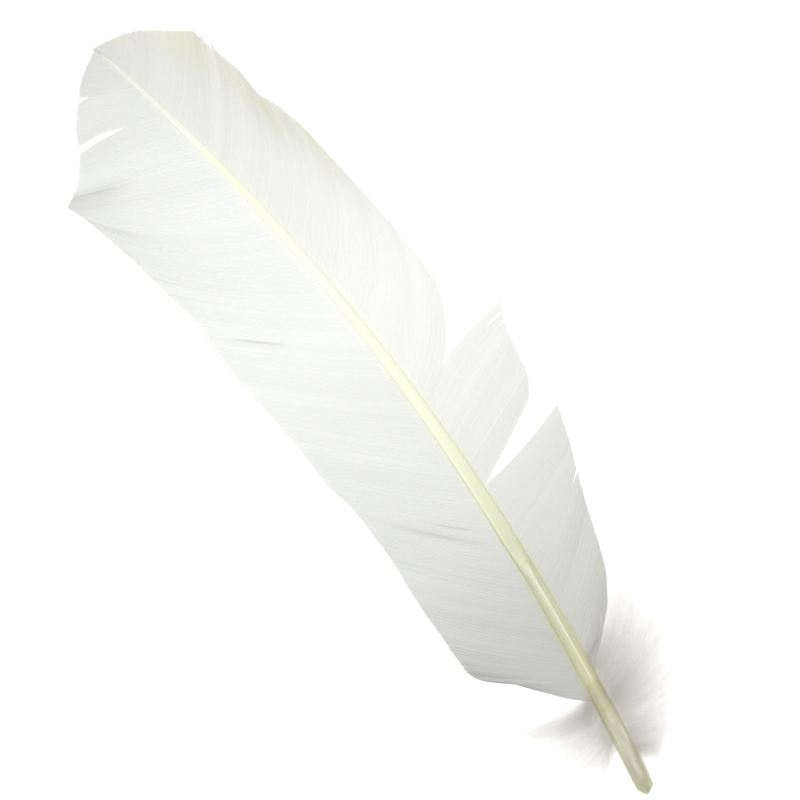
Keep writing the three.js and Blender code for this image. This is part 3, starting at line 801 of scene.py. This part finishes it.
def downMaterial():
    # loose downy barbs: fine white keratin threads that scatter light and let it through, a soft haze
    material, tree = newMaterial("whiteDown")
    near = addNode(tree, "ShaderNodeAttribute", attribute_name="downRoot")
    mixed = addNode(tree, "ShaderNodeMix", {
        "Factor": near.outputs["Fac"], 6: linear(downFinish["colour"]), 7: linear(downFinish["rootStainAndShadeColour"])},
        data_type="RGBA")
    thread = addNode(tree, "ShaderNodeBsdfPrincipled", {
        "Base Color": mixed.outputs[2], "Roughness": downFinish["roughness"], "IOR": keratinIor,
        "Specular IOR Level": downFinish["shine"]})
    glow = addNode(tree, "ShaderNodeBsdfTranslucent", {"Color": mixed.outputs[2]})
    mix = addNode(tree, "ShaderNodeMixShader", {
        "Fac": downFinish["throughLight"], 1: thread.outputs["BSDF"], 2: glow.outputs["BSDF"]})
    addNode(tree, "ShaderNodeOutputMaterial", {"Surface": mix.outputs["Shader"]})
    return material


upperTuft = {
    "name": "outer_down_upper",
    "side": 1,
    "seed": 31,
    "rootFrom": 47,
    "rootTo": 31,
    "crowding": 1.1,  # above 1, barbs stand closer where the tuft starts, and below 1 where it ends
    "barbs": 1000,
    "barbules": 40,  # on each barb
    "fullness": 0.45,  # below 1, more of the barbs are long
    "bow": (0.32, 0.12),  # towards the base, over the barb's length, where the tuft starts and ends
    "rootHeights": (0.45, 1.0),  # share of the shaft's height
    "tipHeights": (1.5, 11.0),  # mm
    "ends": [[35, 69], [38.5, 64], [40.5, 58], [41.5, 52], [41.5, 47], [40, 42], [37.5, 37.5]],
}
lowerTuft = {
    "name": "outer_down_lower",
    "side": 1,
    "seed": 33,
    "rootFrom": 33,
    "rootTo": 13,
    "crowding": 1.15,
    "barbs": 800,
    "barbules": 40,
    "fullness": 0.5,
    "bow": (0.12, 0.02),
    "rootHeights": (0.3, 0.95),
    "tipHeights": (0.5, 8.0),
    "ends": [[37.5, 34], [36, 29.5], [33, 24.5], [29, 19.5], [24, 14.5], [18, 11], [12, 7.5]],
}
innerTuft = {
    "name": "inner_down",
    "side": -1,
    "seed": 32,
    "rootFrom": 39,
    "rootTo": 21,
    "crowding": 0.85,
    "barbs": 820,
    "barbules": 38,
    "fullness": 0.55,
    "bow": (0.1, 0.02),
    "rootHeights": (0.3, 0.85),
    "tipHeights": (0.4, 5.0),
    "ends": [[-4, 27], [-11, 30], [-18, 34.5], [-25, 40.5], [-30, 45], [-27.5, 37], [-26, 30], [-24.5, 23],
             [-18, 15.5], [-9, 12]],
}
threeCorners = np.linspace(0, 2 * math.pi, 3, endpoint=False)  # angles round a thread or a barbule
down = {
    "rows": 7,
    "barbRadius": 0.014,  # mm, about that of a real downy barb
    "barbTaper": 0.7,  # share of it that is lost towards the tip
    "rootInset": 0.4,  # how far off the shaft's middle barbs start, over the shaft's width
    "rootScatter": 1.2,  # mm along the shaft
    "lengths": (0.1, 1.02),  # least and most, share of the way to the end line
    "spread": 0.09,  # how far ends wander along the end line, over its length
    "bowScatter": 0.1,
    "waves": (3, 8),  # radians of a barb's sideways wave from root to tip
    "waveStarts": (0, 6.3),  # where in its wave a barb begins, radians
    "waveSizes": (0.3, 1.4),  # mm
    "lifts": (-1.125, 3.75),  # mm, how high barbs rise between root and tip
    "lowest": 0.25,  # mm
    # barbules that are under 0.01 mm thick and lie this close are too fine to show, so they are drawn
    # coarser and fewer
    "barbuleRadius": 0.008,  # mm
    "barbuleLengths": (1.05, 3.5),  # mm across the barb
    "barbulesFrom": 0.03,  # share of the barb that is bare at its root
    "barbuleForward": 1.3,  # most that a barbule goes along the barb, over its way across
    "barbuleLowest": 0.1,  # mm
    "rootReach": 5.0,  # mm off the shaft over which the stain and the painted shade fade
}


def downPaths(tuft, rng):
    # barbs are quadratic curves with a sine wave sideways, whose height runs straight from root to tip plus a
    # parabola 4f(1-f); also returns the sideways directions
    side, count = tuft["side"], tuft["barbs"]
    t = (np.arange(count) + rng.uniform(0, 1, count)) / count
    t = t ** tuft["crowding"]
    rootAlong = tuft["rootFrom"] + (tuft["rootTo"] - tuft["rootFrom"]) * t
    rootAlong = rootAlong + rng.normal(0, down["rootScatter"], count)
    keys = np.array(tuft["ends"], float)
    places = np.linspace(0, 1, len(keys))
    endT = np.clip(t + rng.normal(0, down["spread"], count), 0, 1)
    end = np.stack([smoothThrough(endT, places, keys[:, k]) for k in (0, 1)], -1)
    inset = side * down["rootInset"] * shaftWidth(rootAlong)
    root = np.stack([shaftAcross(rootAlong) + inset, rootAlong], -1)
    shortest, longest = down["lengths"]
    share = shortest + (longest - shortest) * rng.uniform(0, 1, count) ** tuft["fullness"]
    chord = (end - root) * share[:, None]
    bow = tuft["bow"][0] * (1 - t) + tuft["bow"][1] * t + rng.normal(0, down["bowScatter"], count)
    middle = root + chord / 2 + np.stack([side * chord[:, 1], -side * chord[:, 0]], -1) * bow[:, None]
    f = np.linspace(0, 1, down["rows"])
    w = f[None, :, None]
    plan = (1 - w) ** 2 * root[:, None] + 2 * w * (1 - w) * middle[:, None] + w * w * (root + chord)[:, None]
    heading = np.gradient(plan, axis=1)
    heading /= np.linalg.norm(heading, axis=2, keepdims=True)
    sideways = np.stack([-heading[..., 1], heading[..., 0]], -1)
    turns, starts = rng.uniform(*down["waves"], count), rng.uniform(*down["waveStarts"], count)
    wave = np.sin(f[None] * turns[:, None] + starts[:, None])
    plan = plan + sideways * (wave * f[None] * rng.uniform(*down["waveSizes"], count)[:, None])[..., None]
    rootHeight = shaftUnderside(rootAlong) + shaftHeight(rootAlong) * rng.uniform(*tuft["rootHeights"], count)
    tipHeight = rng.uniform(*tuft["tipHeights"], count)
    lift = rng.uniform(*down["lifts"], count)
    height = rootHeight[:, None] * (1 - f) + tipHeight[:, None] * f + lift[:, None] * 4 * f * (1 - f)
    return np.concatenate([plan, np.maximum(height, down["lowest"])[..., None]], -1), sideways


def downBarbules(path, number, rng):
    # pyramids of three sides and a base, (barb, barbule, corner, xyz), which leave random places of each
    # barb in random directions across it, leaning towards its tip
    count, rows = path.shape[:2]
    place = np.sort(rng.uniform(down["barbulesFrom"], 1, (count, number)), axis=1) * (rows - 1)
    low = np.floor(place).astype(int).clip(0, rows - 2)
    part = (place - low)[..., None]
    pick = np.arange(count)[:, None]
    start = path[pick, low] * (1 - part) + path[pick, low + 1] * part
    forward = path[pick, low + 1] - path[pick, low]
    forward /= np.linalg.norm(forward, axis=2, keepdims=True)
    across = rng.normal(size=start.shape)
    across -= (across * forward).sum(-1, keepdims=True) * forward
    across /= np.linalg.norm(across, axis=2, keepdims=True)
    length = rng.uniform(*down["barbuleLengths"], (count, number, 1))
    tip = start + (rng.uniform(0, down["barbuleForward"], (count, number, 1)) * forward + across) * length
    tip[..., 2] = np.maximum(tip[..., 2], down["barbuleLowest"])
    other = np.cross(forward, across)
    base = [start + down["barbuleRadius"] * (math.cos(a) * forward + math.sin(a) * other)
            for a in threeCorners]
    return np.stack(base + [tip], 2)


def buildDown(tuft, material):
    # three-sided threads along the barbs' paths, thinner towards the tip, and the barbules' pyramids
    rng = np.random.default_rng(tuft["seed"])
    path, sideways = downPaths(tuft, rng)
    count, rows, corners = len(path), down["rows"], len(threeCorners)
    thick = down["barbRadius"] * (1 - down["barbTaper"] * np.linspace(0, 1, rows))[None, :, None]
    threads = np.stack([
        path[..., None, 0] + sideways[..., None, 0] * np.cos(threeCorners) * thick,
        path[..., None, 1] + sideways[..., None, 1] * np.cos(threeCorners) * thick,
        path[..., None, 2] + np.sin(threeCorners) * thick], -1)
    barbules = downBarbules(path, tuft["barbules"], rng)
    sides, caps = tubeFaces(count, rows, corners)
    first = count * rows * corners + (corners + 1) * np.arange(count * tuft["barbules"])[:, None]
    pyramids = [first + corner for corner in ([0, 1, 3], [1, 2, 3], [2, 0, 3], [2, 1, 0])]
    points = np.concatenate([threads.reshape(-1, 3), barbules.reshape(-1, 3)])
    # stain and painted shade next to the shaft, fading with the distance off it
    off = np.abs(points[:, 0] - shaftAcross(points[:, 1]))
    makePiece(tuft["name"], points, [sides, np.concatenate([caps] + pyramids)], material,
              values={"downRoot": np.exp(-off / down["rootReach"])})


print("shaft")
buildShaft()
print("vanes")
vaneWhite = vaneMaterial()
buildVane(innerVane, vaneWhite)
buildVane(outerVane, vaneWhite)
print("down")
downWhite = downMaterial()
for tuft in (upperTuft, lowerTuft, innerTuft):
    buildDown(tuft, downWhite)
